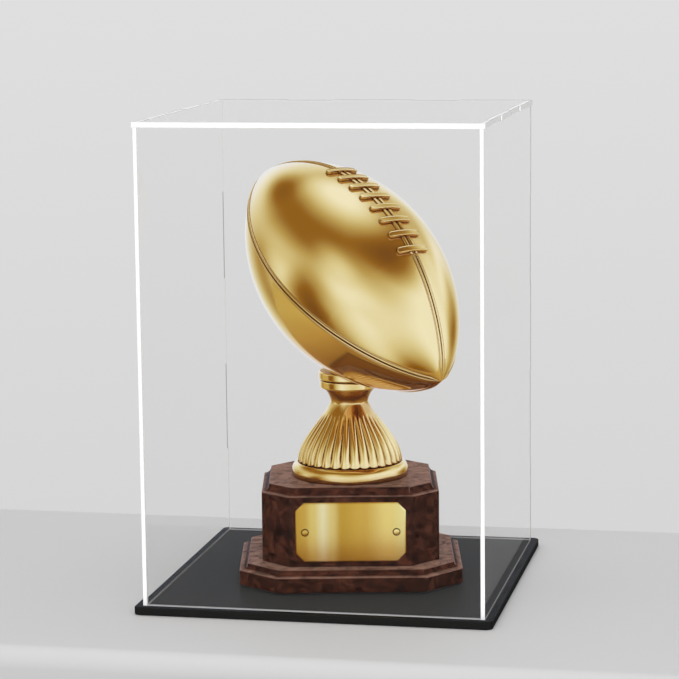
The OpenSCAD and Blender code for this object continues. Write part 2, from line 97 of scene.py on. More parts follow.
def add(tree, kind, settings={}, links={}):
    """Adds a node: settings go on its sockets or on itself, and links join its sockets."""
    node = tree.nodes.new(kind)
    for key, value in settings.items():
        if key == "stops":
            elements = node.color_ramp.elements
            while len(elements) < len(value):
                elements.new(1.0)
            for element, (place, colour) in zip(elements, value):
                element.position, element.color = place, srgb(colour)
        elif isinstance(key, int) or key in node.inputs:
            node.inputs[key].default_value = value
        else:
            setattr(node, key, value)
    for key, source in links.items():
        tree.links.new(source, node.inputs[key])
    return node


def new_material(name, settings):
    """A material with one principled shader, and the tree that its patterns are added to."""
    material = bpy.data.materials.new(name)
    material.use_nodes = True
    tree = material.node_tree
    tree.nodes.clear()
    shader = add(tree, "ShaderNodeBsdfPrincipled", settings)
    add(tree, "ShaderNodeOutputMaterial", {}, {"Surface": shader.outputs[0]})
    return material, tree, shader


def in_metal(tree, path):
    """1 for what is mirrored in metal, whose mirror is soft, and 0 for what clear sheet shows."""
    return add(tree, "ShaderNodeMath", {"operation": "SUBTRACT"},
               {0: path.outputs["Is Glossy Ray"], 1: path.outputs["Is Singular Ray"]})


base_size, base_t, base_corner, base_round = 262, 6, 5, 0.9
groove_out, groove_in, groove_floor = 250.6, 243.4, 4
groove_corner, chamfer = 0.4, 0.25

# Cast acrylic, black through and through. The field inside the groove has a fine matt finish, and
# it is painted lighter, dark grey, as painted light under the cover; the rim outside it is left
# glossy and looks black. In the gold above, a painted reflection shows the plate as warm as the room
black_acrylic, tree, shader = new_material("black_cast_acrylic", {
    "IOR": 1.49, "Specular IOR Level": 0.004})
where = add(tree, "ShaderNodeTexCoord").outputs["Object"]
mirrored = in_metal(tree, add(tree, "ShaderNodeLightPath"))
place = add(tree, "ShaderNodeVectorMath", {"operation": "ABSOLUTE"}, {0: where})
place = add(tree, "ShaderNodeSeparateXYZ", {}, {0: place.outputs[0]})
out = add(tree, "ShaderNodeMath", {"operation": "MAXIMUM"},
          {0: place.outputs[0], 1: place.outputs[1]})
# The rim begins in the middle of the groove
rim = add(tree, "ShaderNodeMapRange", {"From Min": 0.1235, "From Max": 0.124},
          {"Value": out.outputs[0]})
# Painted light: the field inside the rim is painted lighter than the rim
tone = add(tree, "ShaderNodeMix", {"data_type": "RGBA", 6: srgb("#3d3d3c"), 7: srgb("#232322")},
           {0: rim.outputs[0]})
# Painted reflection: in the gold the plate is painted warm brown
tone = add(tree, "ShaderNodeMix", {"data_type": "RGBA", 7: srgb("#84582a")},
           {0: mirrored.outputs[0], 6: tone.outputs[2]})
# The matt finish is cloudy over 17 mm
haze = add(tree, "ShaderNodeTexNoise", {"Scale": 60.0, "Detail": 6.0, "Roughness": 0.65},
           {"Vector": where})
haze = add(tree, "ShaderNodeMapRange", {"To Min": 0.36, "To Max": 0.42}, {"Value": haze.outputs[0]})
gloss = add(tree, "ShaderNodeMix", {"data_type": "FLOAT", 3: 0.16},
            {0: rim.outputs[0], 2: haze.outputs[0]})
tree.links.new(tone.outputs[2], shader.inputs["Base Color"])
tree.links.new(gloss.outputs[0], shader.inputs["Roughness"])


def rounded_edge(a, z):
    """The plate's outline at a turn of a degrees around its rounded-over edge, at height z."""
    drawn_in = base_round * (1 - cos(radians(a)))
    return rounded(base_size - 2 * drawn_in, base_corner - drawn_in, z)


base_loops = [rounded_edge(a, base_round * (1 - sin(radians(a)))) for a in (90, 60, 30, 0)]
base_loops += [rounded_edge(a, base_t - base_round * (1 - sin(radians(a)))) for a in (0, 30, 60, 90)]
base_loops += [rounded(w, groove_corner, z) for w, z in (
    (groove_out + 2 * chamfer, base_t), (groove_out, base_t - chamfer), (groove_out, groove_floor),
    (groove_in, groove_floor), (groove_in, base_t - chamfer), (groove_in - 2 * chamfer, base_t))]
base = piece("base_sheet", [skin(base_loops)])
base.data.materials.append(black_acrylic)
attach(base, "base")
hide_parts("base_plate")

# ---- Felt ------------------------------------------------------------------------------------
# Black wool felt, 1.5 mm thick, cut with the plinth's corners and glued under it so that the
# trophy slides on the acrylic without a scratch. Only its edge shows.


def eight(w, d, cut, inset, z):
    """Outline of a rectangle with cut corners, drawn in by an inset, at height z."""
    x, y, c = w / 2 - inset, d / 2 - inset, cut - inset * (2 - sqrt(2))
    return [(x - c, -y, z), (x, c - y, z), (x, y - c, z), (x - c, y, z),
            (c - x, y, z), (-x, y - c, z), (-x, c - y, z), (c - x, -y, z)]


trophy_x, trophy_y, trophy_turn = 3.5, 1.5, 11.5
on_base = Matrix.Translation((trophy_x * 0.001, trophy_y * 0.001, base_t * 0.001)) \
    @ Matrix.Rotation(radians(trophy_turn), 4, "Z")
plinth_w, plinth_d, plinth_cut = 166, 146, 28
felt_t, felt_inset = 1.5, 2

# Wool felt: matt, with a nap of short fibres that catches light at its edge
felt, tree, shader = new_material("black_wool_felt", {
    "Roughness": 0.95, "Sheen Weight": 0.4, "Sheen Roughness": 0.5})
where = add(tree, "ShaderNodeTexCoord").outputs["Object"]
# Fibres of 0.2 mm
fibres = add(tree, "ShaderNodeTexNoise", {"Scale": 5000.0, "Detail": 3.0}, {"Vector": where})
shade = add(tree, "ShaderNodeValToRGB", {"stops": [(0.3, "#101011"), (0.7, "#2a2a2c")]},
            {"Fac": fibres.outputs[0]})
nap = add(tree, "ShaderNodeBump", {"Strength": 0.6, "Distance": 0.0002},
          {"Height": fibres.outputs[0]})
tree.links.new(shade.outputs[0], shader.inputs["Base Color"])
tree.links.new(nap.outputs[0], shader.inputs["Normal"])

pad = piece("felt_underlay", [skin([eight(plinth_w, plinth_d, plinth_cut, felt_inset + i, z)
                                    for i, z in ((0.2, 0), (0, 0.3), (0, 1.2), (0.1, felt_t))])],
            on_base)
pad.data.materials.append(felt)
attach(pad, "trophy")
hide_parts("felt_pad")

# ---- Wooden base ------------------------------------------------------------------------------
# Two tiers of hardwood with dark burl veneer, mitred at their cut corners, each with a cove
# routed along its top edge. They are stained, filled and lacquered, and pulled together by the
# tie rod and two screws from below.


def tier(w, d, h, cut, cove_w, cove_h, z):
    """The skin of a tier: straight sides, a hollow cove and a flat top."""
    return skin([eight(w, d, cut, 0, z)] +
                [eight(w, d, cut, cove_w * cos(radians(a)), z + h - cove_h * sin(radians(a)))
                 for a in (90, 78, 64, 48, 32, 16, 0)])


plinth_h = 15.5
block_w, block_d, block_cut, block_h = 132, 112, 20.5, 58.5
wood_edge = 0.35
plinth_z = felt_t
block_z = plinth_z + plinth_h
foot_z = block_z + block_h

# Burl veneer, stained red-brown under a thin lacquer: clouded figure, darker eyes and fine pores.
# The lacquer deepens the stain and mirrors next to nothing
burl, tree, shader = new_material("lacquered_burl_veneer", {
    "IOR": 1.5, "Specular IOR Level": 0.004, "Coat Weight": 0.03, "Coat Roughness": 0.08,
    "Coat IOR": 1.5})
where = add(tree, "ShaderNodeTexCoord").outputs["Object"]
# The figure swirls over 30 mm, in clouds of 10 mm
swirl = add(tree, "ShaderNodeTexNoise", {"Scale": 32.0, "Detail": 3.0}, {"Vector": where})
bent = add(tree, "ShaderNodeMix", {"data_type": "VECTOR", "factor_mode": "UNIFORM", 0: 0.028},
           {4: where, 5: swirl.outputs["Color"]})
clouds = add(tree, "ShaderNodeTexNoise", {"Scale": 105.0, "Detail": 8.0, "Roughness": 0.66,
                                          "Distortion": 1.4}, {"Vector": bent.outputs[1]})
# Eyes about 3 mm across, 8 mm apart
eyes = add(tree, "ShaderNodeTexVoronoi", {"Scale": 120.0, "Randomness": 1.0},
           {"Vector": bent.outputs[1]})
eye = add(tree, "ShaderNodeMapRange", {"From Min": 0.1, "From Max": 0.5, "To Min": 0.0,
                                       "To Max": 0.16}, {"Value": eyes.outputs["Distance"]})
figure = add(tree, "ShaderNodeMath", {"operation": "ADD"},
             {0: clouds.outputs[0], 1: eye.outputs[0]})
colour = add(tree, "ShaderNodeValToRGB", {"stops": [
    (0.4, "#150703"), (0.49, "#1f0c06"), (0.57, "#2c130a"), (0.66, "#402015"),
    (0.78, "#5c3323")]}, {"Fac": figure.outputs[0]})
# Pores 0.4 mm wide and 1.4 mm long, drawn out along the grain
grain = add(tree, "ShaderNodeMapping", {"Scale": (2600.0, 2600.0, 700.0)}, {"Vector": where})
pores = add(tree, "ShaderNodeTexNoise", {"Scale": 1.0, "Detail": 2.0},
            {"Vector": grain.outputs[0]})
pore = add(tree, "ShaderNodeMapRange", {"From Min": 0.6, "From Max": 0.75, "To Min": 0.0,
                                        "To Max": 0.5}, {"Value": pores.outputs[0]})
stain_and_painted_top_light = add(tree, "ShaderNodeMix", {"data_type": "RGBA", 7: srgb("#1c0d0a")},
              {0: pore.outputs[0], 6: colour.outputs[0]})
# Painted light: the faces that lie flat are painted paler, as if lit from above
pale = add(tree, "ShaderNodeValToRGB", {"stops": [(0.45, "#6a4a3c"), (0.72, "#b48f7c")]},
           {"Fac": figure.outputs[0]})
tilt = add(tree, "ShaderNodeSeparateXYZ", {},
           {0: add(tree, "ShaderNodeNewGeometry").outputs["Normal"]})
flat = add(tree, "ShaderNodeMapRange", {"From Min": 0.85, "From Max": 1.0, "To Max": 0.7},
           {"Value": tilt.outputs[2]})
stain_and_painted_top_light = add(tree, "ShaderNodeMix", {"data_type": "RGBA", "blend_type": "SCREEN"},
              {0: flat.outputs[0], 6: stain_and_painted_top_light.outputs[2], 7: pale.outputs[0]})
sheen = add(tree, "ShaderNodeMapRange", {"To Min": 0.3, "To Max": 0.5},
            {"Value": clouds.outputs[0]})
relief = add(tree, "ShaderNodeBump", {"Strength": 0.12, "Distance": 0.0002},
             {"Height": pores.outputs[0]})
tree.links.new(stain_and_painted_top_light.outputs[2], shader.inputs["Base Color"])
tree.links.new(sheen.outputs[0], shader.inputs["Roughness"])
tree.links.new(relief.outputs[0], shader.inputs["Normal"])

# Painted highlights on the cove's sharp edges: light pink lines at the sides, and darker ones in
# front as painted shade. The lacquer has filled the mitres, which stay dark
painted_edge_highlight, tree, shader = new_material("painted_highlight_cove_edge", {
    "IOR": 1.5, "Specular IOR Level": 0.1, "Roughness": 0.35})
where = add(tree, "ShaderNodeTexCoord").outputs["Object"]
# The painted highlight varies over 7 mm
wear_and_highlight = add(tree, "ShaderNodeTexNoise", {"Scale": 150.0, "Detail": 4.0}, {"Vector": where})
pink = add(tree, "ShaderNodeValToRGB", {"stops": [(0.35, "#8a5a4b"), (0.65, "#c49584")]},
           {"Fac": wear_and_highlight.outputs[0]})
tilt = add(tree, "ShaderNodeSeparateXYZ", {},
           {0: add(tree, "ShaderNodeNewGeometry").outputs["Normal"]})
upward = add(tree, "ShaderNodeMapRange", {"From Min": 0.1, "From Max": 0.35},
             {"Value": tilt.outputs[2]})
sideways = add(tree, "ShaderNodeMath", {"operation": "ABSOLUTE"}, {0: tilt.outputs[0]})
sideways = add(tree, "ShaderNodeMapRange", {"From Min": 0.42, "From Max": 0.66},
               {"Value": sideways.outputs[0]})
cove_edge = add(tree, "ShaderNodeMix", {"data_type": "RGBA", 6: srgb("#36190f")},
                {0: sideways.outputs[0], 7: pink.outputs[0]})
mitred = add(tree, "ShaderNodeMix", {"data_type": "RGBA", 6: srgb("#22100c")},
             {0: upward.outputs[0], 7: cove_edge.outputs[2]})
tree.links.new(mitred.outputs[2], shader.inputs["Base Color"])

plinth_skin = tier(plinth_w, plinth_d, plinth_h, plinth_cut, cove_w=6, cove_h=4.7, z=plinth_z)
block_skin = tier(block_w, block_d, block_h, block_cut, cove_w=5.5, cove_h=6, z=block_z)
plinth = piece("plinth_tier", [plinth_skin], on_base, bevel=wood_edge, bevel_material=1)
block = piece("block_tier", [block_skin], on_base, bevel=wood_edge, bevel_material=1)
for made, node in ((plinth, "plinth"), (block, "block")):
    made.data.materials.append(burl)
    made.data.materials.append(painted_edge_highlight)
    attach(made, "trophy")
    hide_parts(node)

# ---- Screws and tie rod -----------------------------------------------------------------------
# Zinc-plated steel hardware: two countersunk wood screws, and the rod with its nuts and washers
# that draws the football, the collars, the riser and the wood together.

# Zinc plate: grey, slightly blue, with the fine scratches of handling
zinc, tree, shader = new_material("zinc_plated_steel", {
    "Base Color": srgb("#9ea2a8"), "Metallic": 1.0})
where = add(tree, "ShaderNodeTexCoord").outputs["Object"]
# Scratches 1 mm apart
scuff = add(tree, "ShaderNodeTexNoise", {"Scale": 900.0, "Detail": 4.0}, {"Vector": where})
worn = add(tree, "ShaderNodeMapRange", {"To Min": 0.28, "To Max": 0.5},
           {"Value": scuff.outputs[0]})
tree.links.new(worn.outputs[0], shader.inputs["Roughness"])

for node in ("wood_screws", "tie_rod", "rod_nuts", "rod_washers"):
    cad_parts[node].data.materials.clear()
    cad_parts[node].data.materials.append(zinc)

# ---- Name plate -------------------------------------------------------------------------------
# A blank plate of sheet brass, sheared with cut corners, bevelled around its rim, brushed and
# gold-washed. Two pins with low round heads hold it to the block's front face.

plate_w, plate_h, plate_t, plate_cut, plate_up = 81.6, 44.5, 1.2, 6.2, 4
pin_x = plate_w / 2 - 7
upright = Matrix.Rotation(radians(90), 4, "X")
plate_mid = block_z + plate_up + plate_h / 2
on_block = on_base @ Matrix.Translation((0, -block_d / 2 * 0.001, plate_mid * 0.001)) @ upright

# Brushed brass: satin lines draw each highlight out. Over the plate's width the gold wash is
# painted in soft bands, pale as painted highlights and amber as painted shade
satin_brass, tree, shader = new_material("brushed_gold_washed_brass", {"Metallic": 1.0})
where = add(tree, "ShaderNodeTexCoord").outputs["Object"]
turned = add(tree, "ShaderNodeMapping", {
    "vector_type": "TEXTURE", "Rotation": (0, 0, radians(trophy_turn)),
    "Location": (trophy_x * 0.001, trophy_y * 0.001, 0)}, {"Vector": where})
across = add(tree, "ShaderNodeSeparateXYZ", {}, {"Vector": turned.outputs[0]})
width = add(tree, "ShaderNodeMapRange", {
    "From Min": -plate_w / 2 * 0.001, "From Max": plate_w / 2 * 0.001}, {"Value": across.outputs[0]})
# Painted highlight and painted shade in bands across the plate
painted_bands = add(tree, "ShaderNodeValToRGB", {"stops": [
    (0.0, "#d3a640"), (0.07, "#dab04c"), (0.16, "#f0d47a"), (0.25, "#fdeeb8"), (0.33, "#f0d686"),
    (0.42, "#d4a940"), (0.6, "#e2b852"), (0.85, "#ffe48c"), (1.0, "#fff0a4")]},
    {"Fac": width.outputs[0]})
painted_bands.color_ramp.interpolation = "EASE"
# Brush lines 0.15 mm apart and 12 mm long
lines = add(tree, "ShaderNodeMapping", {"Scale": (6600.0, 6600.0, 80.0)},
            {"Vector": turned.outputs[0]})
brushed = add(tree, "ShaderNodeTexNoise", {"Scale": 1.0, "Detail": 2.0},
              {"Vector": lines.outputs[0]})
rough = add(tree, "ShaderNodeMapRange", {"To Min": 0.12, "To Max": 0.24},
            {"Value": brushed.outputs[0]})
drawn = add(tree, "ShaderNodeBump", {"Strength": 0.1, "Distance": 0.00005},
            {"Height": brushed.outputs[0]})
tree.links.new(painted_bands.outputs[0], shader.inputs["Base Color"])
tree.links.new(rough.outputs[0], shader.inputs["Roughness"])
tree.links.new(drawn.outputs[0], shader.inputs["Normal"])

# Painted shade: brass painted dark brown in the groove around each pin's head
painted_groove_shade, tree, shader = new_material("painted_groove_shade", {"Metallic": 1.0, "Roughness": 0.5})
where = add(tree, "ShaderNodeTexCoord").outputs["Object"]
# Spots of 0.5 mm
spots = add(tree, "ShaderNodeTexNoise", {"Scale": 2000.0}, {"Vector": where})
brown = add(tree, "ShaderNodeValToRGB", {"stops": [(0.3, "#3f230c"), (0.7, "#6b4218")]},
            {"Fac": spots.outputs[0]})
tree.links.new(brown.outputs[0], shader.inputs["Base Color"])

# Insets and heights up the rim: a sheared side, a small round and a wide bevel
plate_rim = ((0, 0), (0, plate_t - 0.6), (0.2, plate_t - 0.35), (0.9, plate_t))
plate = piece("blank_name_plate", [skin([eight(plate_w, plate_h, plate_cut, inset, z)
                                         for inset, z in plate_rim])], on_block, sharp=20)
plate.data.materials.append(satin_brass)
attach(plate, "trophy")
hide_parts("name_plate")


def turned_skin(profile, steps, x=0):
    """The skin of a part turned around an axis at x, from its profile of (radius, height)."""
    return skin([[(x + r * cos(2 * pi * i / steps), r * sin(2 * pi * i / steps), z)
                  for i in range(steps)] for r, z in profile])


# A shank, and a low round head with a groove around it
pin_steps, groove_rows = 36, (3, 4, 5)
pin_profile = [(1.0, -10), (1.0, plate_t - 0.3), (2.9, plate_t - 0.3), (2.9, plate_t + 0.1),
               (2.85, plate_t + 0.2), (2.3, plate_t + 0.1), (2.2, plate_t + 0.4),
               (2.05, plate_t + 0.5), (1.2, plate_t + 0.6), (0.1, plate_t + 0.6)]
pins = piece("plate_pin_heads", [turned_skin(pin_profile, pin_steps, x) for x in (-pin_x, pin_x)],
             on_block, sharp=20)
pins.data.materials.append(satin_brass)
pins.data.materials.append(painted_groove_shade)
faces_per_pin = pin_steps * (len(pin_profile) - 1) + 2
for face in pins.data.polygons:
    # The groove around the head, and the head's side, take the painted shade
    face.material_index = int(face.index % faces_per_pin // pin_steps in groove_rows)
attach(pins, "trophy")
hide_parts("plate_pins")

# ---- Riser's foot -----------------------------------------------------------------------------
# A hollow zinc casting, turned to a rounded ring with a ledge, polished and gold-plated. The
# skirt of the riser overhangs its ledge, so a dark line shows under the flutes.

foot_r, foot_h, skirt_r, bore_r = 44, 11, 39.6, 3.2


def curve(p0, p1, p2, p3, t):
    """A point on the curve from p0 to p3 that is drawn towards p1 and p2 on its way."""
    return tuple((1 - t) ** 3 * a + 3 * t * (1 - t) ** 2 * b + 3 * t * t * (1 - t) * c + t ** 3 * d
                 for a, b, c, d in zip(p0, p1, p2, p3))


def plated(name, reach, top_haze, below=(-0.45, -0.95), below_tone="#d08a3e"):
    """Gold plate with painted shade, brown in creases and darker and redder in hollows up to a reach
    wide and where it faces down, hazy on flat tops.
    """
    gold, tree, shader = new_material(name, {"Metallic": 1.0})
    where = add(tree, "ShaderNodeTexCoord").outputs["Object"]
    # Polishing marks, cloudy over 8 mm
    clouded = add(tree, "ShaderNodeTexNoise", {"Scale": 120.0, "Detail": 4.0}, {"Vector": where})
    polish = add(tree, "ShaderNodeMapRange", {"To Min": 0.07, "To Max": 0.13},
                 {"Value": clouded.outputs[0]})
    # Grit of 0.3 mm
    grit = add(tree, "ShaderNodeTexNoise", {"Scale": 3300.0, "Detail": 2.0}, {"Vector": where})
    worked = add(tree, "ShaderNodeBump", {"Strength": 0.04, "Distance": 0.0001},
                 {"Height": grit.outputs[0]})
    # Painted shade: creases up to 1.4 mm wide are darkened to brown
    crease = add(tree, "ShaderNodeAmbientOcclusion", {"samples": 6, "Distance": 0.0014})
    hollow = add(tree, "ShaderNodeAmbientOcclusion", {"samples": 6, "Distance": reach})
    # Painted shade: hollows up to a reach wide go darker and redder
    redder = add(tree, "ShaderNodeValToRGB", {"stops": [
        (0.22, "#703c14"), (0.58, "#c48e3c"), (0.86, "#f9e09c")]}, {"Fac": hollow.outputs["AO"]})
    side = add(tree, "ShaderNodeSeparateXYZ", {},
               {0: add(tree, "ShaderNodeNewGeometry").outputs["Normal"]})
    # Painted shade: faces that turn down go towards the tone below
    under = add(tree, "ShaderNodeMapRange", {
        "From Min": below[0], "From Max": below[1], "To Max": 0.7}, {"Value": side.outputs[2]})
    redder = add(tree, "ShaderNodeMix", {"data_type": "RGBA", 7: srgb(below_tone)},
                 {0: under.outputs[0], 6: redder.outputs[0]})
    dark = add(tree, "ShaderNodeMapRange", {"From Min": 0.9, "From Max": 0.4},
               {"Value": crease.outputs["AO"]})
    painted_shade_gold = add(tree, "ShaderNodeMix", {"data_type": "RGBA", 7: srgb("#74420f")},
                  {0: dark.outputs[0], 6: redder.outputs[2]})
    top = add(tree, "ShaderNodeMapRange", {"From Min": 0.9, "From Max": 0.98, "To Max": top_haze},
              {"Value": side.outputs[2]})
    haze = add(tree, "ShaderNodeMath", {"operation": "ADD"},
               {0: polish.outputs[0], 1: top.outputs[0]})
    tree.links.new(painted_shade_gold.outputs[2], shader.inputs["Base Color"])
    tree.links.new(haze.outputs[0], shader.inputs["Roughness"])
    tree.links.new(worked.outputs[0], shader.inputs["Normal"])
    return gold


# Gold plate on a polished casting: a soft mirror, a little uneven where the casting was worked by
# hand. Painted shade darkens its creases to brown, and turns its hollows up to 15 mm wide and its
# undersides to a darker, redder tone
gold = plated("polished_gold_plate", 0.015, 0.0)

foot_profile = [(foot_r - 1.2, 0)]
foot_profile += [curve((foot_r - 0.3, 0.2), (foot_r + 0.9, foot_h * 0.4),
                       (foot_r - 0.6, foot_h * 0.82), (foot_r - 4, foot_h * 0.97), i / 20)
                 for i in range(21)]
foot_profile += [(foot_r - 5.5, foot_h), (bore_r, foot_h)]
foot = piece("riser_foot_ring", [turned_skin(foot_profile, steps=128)],
             on_base @ Matrix.Translation((0, 0, foot_z * 0.001)), sharp=60)
foot.data.materials.append(gold)
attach(foot, "trophy")
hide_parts("riser_foot")

# ---- Riser ------------------------------------------------------------------------------------
# The second casting: a skirt of rounded pleats that fade out below a narrow neck, which flares
# to the collars. Each pleat is round and the valleys between are sharp, and the hem is
# scalloped by them.

riser_h, neck_h, neck_r, riser_top_r = 55.5, 45, 14.2, 19.6
flutes, flute_depth, flute_top, flute_steps = 32, 2.7, 36, 12
hem_lift = 1.1
riser_z = foot_z + foot_h
riser_line = [curve((skirt_r, 0), (skirt_r - 0.6, neck_h * 0.36), (neck_r + 3.8, neck_h * 0.76),
                    (neck_r, neck_h), i / 36) for i in range(36)]
riser_line += [curve((neck_r, neck_h), (neck_r + 0.4, neck_h + 4.2),
                     (riser_top_r - 2.2, neck_h + 7.9), (riser_top_r, riser_h), i / 14)
               for i in range(15)]


def fluted(r, h, tuck=0.0, lift=0.0):
    """One level of the riser: round pleats, with its hem tucked in and lifted in the valleys."""
    # The pleats are shallower at the hem, deepest 8 mm up, and gone at their top
    deep = flute_depth * max(0.0, 1 - h / flute_top) ** 0.5 * min(1.0, 0.45 + 0.07 * h)
    level = []
    for i in range(flutes * flute_steps):
        a = 2 * pi * i / (flutes * flute_steps)
        valley = 1 - abs(sin(a * flutes / 2)) ** 0.8
        reach = r - deep * valley - tuck
        level.append((reach * cos(a), reach * sin(a), h + lift * valley))
    return level


# The hem's underside and rounded lip, then the skirt and the neck, and a closed top
riser_loops = [fluted(skirt_r, h, tuck, hem_lift * share) for tuck, h, share in
               ((6.5, -0.2, 0), (0.7, -0.2, 0), (0.55, 0.0, 0.7), (0.15, 0.25, 1.0))]
riser_loops += [fluted(skirt_r, 0.6, 0, hem_lift)]
riser_loops += [fluted(r, h, 0, hem_lift * max(0, 1 - h / 7)) for r, h in riser_line[1:]]
riser_loops += [fluted(riser_top_r - 0.3, riser_h), fluted(4, riser_h)]
# The riser's neck and upper skirt, between the collars and the foot, take more painted shade:
# darker and redder in hollows up to 34 mm wide and wherever they face down
riser_gold = plated("neck_shaded_gold_plate", 0.034, 0.0, (0.0, -0.35), "#a05e12")
riser = piece("fluted_riser", [skin(riser_loops)],
              on_base @ Matrix.Translation((0, 0, riser_z * 0.001)), sharp=75)
riser.data.materials.append(riser_gold)
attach(riser, "trophy")
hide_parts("riser")

# ---- Collars ----------------------------------------------------------------------------------
# Two turned rings with rounded rims, gold-plated like the riser. The tie rod passes through
# them, and their tops are hollowed to a saddle that the football beds into.

# Buffed on the lathe by themselves, the collars take painted shade only in creases and hollows up
# to 1.4 mm wide and where they face down, so they stay pale, and their flat tops, which carry the
# football, are left matt
buffed_gold = plated("lathe_buffed_gold_plate", 0.0014, 0.45)

lower_r, lower_h, upper_r, upper_h, collar_round = 22.2, 6.6, 23.0, 6.4, 1.5
lower_collar_z = riser_z + riser_h
upper_collar_z = lower_collar_z + lower_h
for name, node, r, h, z in (
        ("lower_collar_ring", "lower_collar", lower_r, lower_h, lower_collar_z),
        ("upper_collar_ring", "upper_collar", upper_r, upper_h, upper_collar_z)):
    rim = [(r - collar_round + collar_round * cos(radians(a)), mid + collar_round * sin(radians(a)))
           for mid, start in ((collar_round, -90), (h - collar_round, 0))
           for a in range(start, start + 91, 15)]
    collar = piece(name, [turned_skin([(bore_r, 0)] + rim + [(bore_r, h)], steps=96)],
                   on_base @ Matrix.Translation((0, 0, z * 0.001)), sharp=50)
    collar.data.materials.append(buffed_gold)
    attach(collar, "trophy")
    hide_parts(node)

# ---- Football ---------------------------------------------------------------------------------
# Two thin cast shells, soldered along the seam that runs around the football's sides, then
# polished and gold-plated as one. Every seam is a pair of raised beads with a fine groove
# between them, and the four seams meet at the tips.

ball_half, ball_r, ball_point, ball_wall = 120.0, 67.5, 0.74, 3.0
ball_shift, ball_up, ball_turn, ball_dip, ball_roll = 2, 72.53, -49, 35, 2
seam_w, seam_h, seam_gap, groove_d, dip_w, dip_d = 1.6, 1.1, 0.9, 0.5, 1.0, 0.3
narrow_r = 9
laces, lace_pitch, lace_mid, lace_len, lace_w, lace_h = 8, 13.25, -3.0, 27.0, 4.6, 2.8
first_skew, last_skew, first_len = 10, 3, 24.5
strip_w, strip_gap, strip_h, strip_tail = 3.2, 1.4, 1.2, 4.0
strip_round, lace_round, sunk = 1.6, 2.2, 0.3
first_lace = lace_mid - (laces - 1) * lace_pitch / 2
last_lace = lace_mid + (laces - 1) * lace_pitch / 2
strip_start, strip_finish = first_lace - strip_tail, last_lace + strip_tail
ball_z = upper_collar_z + upper_h + ball_up
on_collar = on_base @ Matrix.Translation((ball_shift * 0.001, 0, ball_z * 0.001)) \
    @ Matrix.Rotation(radians(ball_turn), 4, "Z") @ Matrix.Rotation(radians(90 + ball_dip), 4, "Y") \
    @ Matrix.Rotation(radians(180 + ball_roll), 4, "Z")


def leather_r(s):
    """The football's radius at a place along its length."""
    return ball_r * max(0.0, 1 - (s / ball_half) ** 2) ** ball_point


def bead(d):
    """Height of a seam over the leather: a fine groove, a bead beside it and a shallow dip."""
    d = abs(d)
    start = seam_gap / 2
    if d < start:
        return -groove_d * (1 - (d / start) ** 2)
    if d < start + seam_w:
        return seam_h * sqrt(max(0.0, 1 - (2 * (d - start) / seam_w - 1) ** 2))
    if d < start + seam_w + dip_w:
        return -dip_d * sin(pi * (d - start - seam_w) / dip_w)
    return 0.0


# Distances from a seam's middle at which its height is taken
seam_places = [0, 0.25, 0.45, 0.47, 0.55, 0.8, 1.25, 1.7, 1.95, 2.03, 2.05, 2.25, 2.55, 2.85, 3.05]


def shell_row(s, gapped):
    """Half a ring around the football, out over its skin and back along its inside."""
    r = leather_r(s) + 0.02
    # The seams narrow towards the tips
    squeeze = min(1.0, r / narrow_r)
    row = []
    for seam in (-90, 0, 90):
        places = ([-d for d in seam_places[:0:-1]] if seam > -90 else []) + \
            (seam_places if seam < 90 else [0])
        for d in places:
            height = bead(d) * squeeze
            if seam == 0 and gapped and strip_start - 1 < s < strip_finish + 1:
                height = min(height, 0.0) * 0.2
            a = radians(seam) + d * squeeze / r
            row.append((a, r + height))
        if seam < 90:
            edge = seam_places[-1] * squeeze / r
            first, last = radians(seam) + edge, radians(seam + 90) - edge
            row += [(first + (last - first) * i / 20, r) for i in range(1, 20)]
    inside = max(r - ball_wall, r * 0.3)
    row += [(radians(90 - 180 * i / 12), inside) for i in range(13)]
    return [(q * cos(a), q * sin(a), s) for a, q in row]


# Places along the football, with a pair at each end of the gap that the lacing leaves in the seam
stations = [-ball_half * cos(pi * i / 120) for i in range(1, 120)]
stations += [strip_start - 1.01, strip_start - 0.99, strip_finish + 0.99, strip_finish + 1.01]
stations += [-ball_half + 0.02, ball_half - 0.02]
stations.sort()
for name, node, turn, gapped in (("football_upper_shell", "ball_upper_shell", 0, True),
                                 ("football_lower_shell", "ball_lower_shell", 180, False)):
    shell = piece(name, [skin([shell_row(s, gapped) for s in stations])],
                  on_collar @ Matrix.Rotation(radians(turn), 4, "Z"), sharp=85)
    shell.data.materials.append(gold)
    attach(shell, "trophy")
    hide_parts(node)

# ---- Lacing -----------------------------------------------------------------------------------
# Two long strips and eight short cross laces, cast in one with a thin backing, soldered along
# the top seam and plated with the football. The laces have flat crowns and rounded ends.


def over_leather(s, around, up):
    """A point over the top seam: along the football, around it and up from its leather."""
    r = leather_r(s)
    slope = atan2(leather_r(s + 1) - leather_r(s - 1), 2)
    a = around / r
    return ((r + up * cos(slope)) * cos(a), (r + up * cos(slope)) * sin(a), s - up * sin(slope))


def strip_row(s, middle, share):
    """A cross-section of a strip: flat at its foot and round over its top."""
    half = strip_w / 2 * share
    arc = [(half * cos(radians(a)), strip_h * (0.35 + 0.65 * share) * sin(radians(a)) ** 0.7)
           for a in range(0, 181, 15)]
    return [over_leather(s, middle + x, max(h, 0.0)) for x, h in arc] + \
        [over_leather(s, middle - half, -sunk), over_leather(s, middle + half, -sunk)]


strips = []
for side in (-1, 1):
    rows = []
    for i in range(61):
        s = strip_start + (strip_finish - strip_start) * i / 60
        end = min(s - strip_start, strip_finish - s)
        share = sqrt(max(0.02, 1 - max(0, 1 - end / strip_round) ** 2))
        rows.append(strip_row(s, side * (strip_w + strip_gap) / 2, share))
    strips.append(skin(rows))
strip_pair = piece("lace_strip_pair", strips, on_collar, sharp=60)


